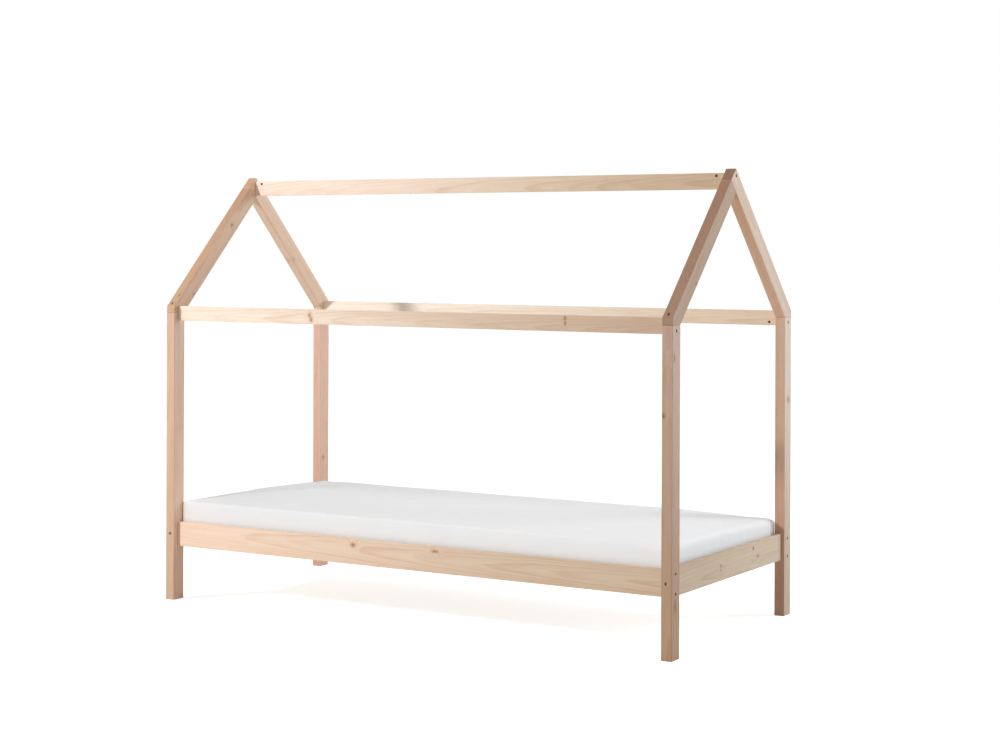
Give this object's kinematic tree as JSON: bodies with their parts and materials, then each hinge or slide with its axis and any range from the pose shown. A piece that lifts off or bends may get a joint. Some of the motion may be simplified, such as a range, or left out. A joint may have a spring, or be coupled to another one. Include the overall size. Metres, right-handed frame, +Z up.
{
  "type": "house frame bed",
  "caption": "Child's single bed of planed pine with a house-shaped frame of posts, rafters and beams, low rails, a slatted base and a loose mattress.",
  "frame": {"origin": "on the floor, under the middle of the bed", "axes": "+X along the bed towards the right gable as seen from the front, +Y towards the back, +Z up; the front is at -Y"},
  "size_m": [2.084, 0.99, 1.5902],
  "materials": {
    "pine_frame": "planed pine, clear matt lacquer, fine grain and small knots, eased edges",
    "pine_slats": "sawn and planed pine, unfinished, eased edges",
    "beech_dowel": "fluted beech pin, unfinished",
    "zinc_steel": "zinc-plated steel, satin",
    "mattress_cover": "plain white knitted cotton cover over foam, softly wrinkled"
  },
  "bodies": {
    "frame": {"apex_dowels": "beech_dowel", "apex_screws": "zinc_steel", "eaves_rail_back": "pine_frame", "eaves_rail_barrel_nuts": "zinc_steel", "eaves_rail_bolts": "zinc_steel", "eaves_rail_dowels": "beech_dowel", "eaves_rail_front": "pine_frame", "end_rail_barrel_nuts": "zinc_steel", "end_rail_bolts": "zinc_steel", "end_rail_dowels": "beech_dowel", "end_rail_left": "pine_frame", "end_rail_right": "pine_frame", "post_back_left": "pine_frame", "post_back_right": "pine_frame", "post_front_left": "pine_frame", "post_front_right": "pine_frame", "rafter_back_left": "pine_frame", "rafter_back_right": "pine_frame", "rafter_foot_dowels": "beech_dowel", "rafter_foot_screws": "zinc_steel", "rafter_front_left": "pine_frame", "rafter_front_right": "pine_frame", "ridge_barrel_nuts": "zinc_steel", "ridge_beam": "pine_frame", "ridge_bolts": "zinc_steel", "ridge_dowels": "beech_dowel", "side_rail_back": "pine_frame", "side_rail_barrel_nuts": "zinc_steel", "side_rail_bolts": "zinc_steel", "side_rail_front": "pine_frame", "slat_01": "pine_slats", "slat_02": "pine_slats", "slat_03": "pine_slats", "slat_04": "pine_slats", "slat_05": "pine_slats", "slat_06": "pine_slats", "slat_07": "pine_slats", "slat_08": "pine_slats", "slat_09": "pine_slats", "slat_10": "pine_slats", "slat_11": "pine_slats", "slat_12": "pine_slats", "slat_13": "pine_slats", "slat_14": "pine_slats", "slat_screws": "zinc_steel", "slat_support_back": "pine_slats", "slat_support_front": "pine_slats", "slat_support_screws": "zinc_steel"},
    "mattress": {"mattress": "mattress_cover"}
  },
  "joints": [
    {"name": "mattress_lift", "type": "slide", "parent": "frame", "child": "mattress", "axis": [0, 0, 1], "range_m": [0, 0.3]}
  ]
}
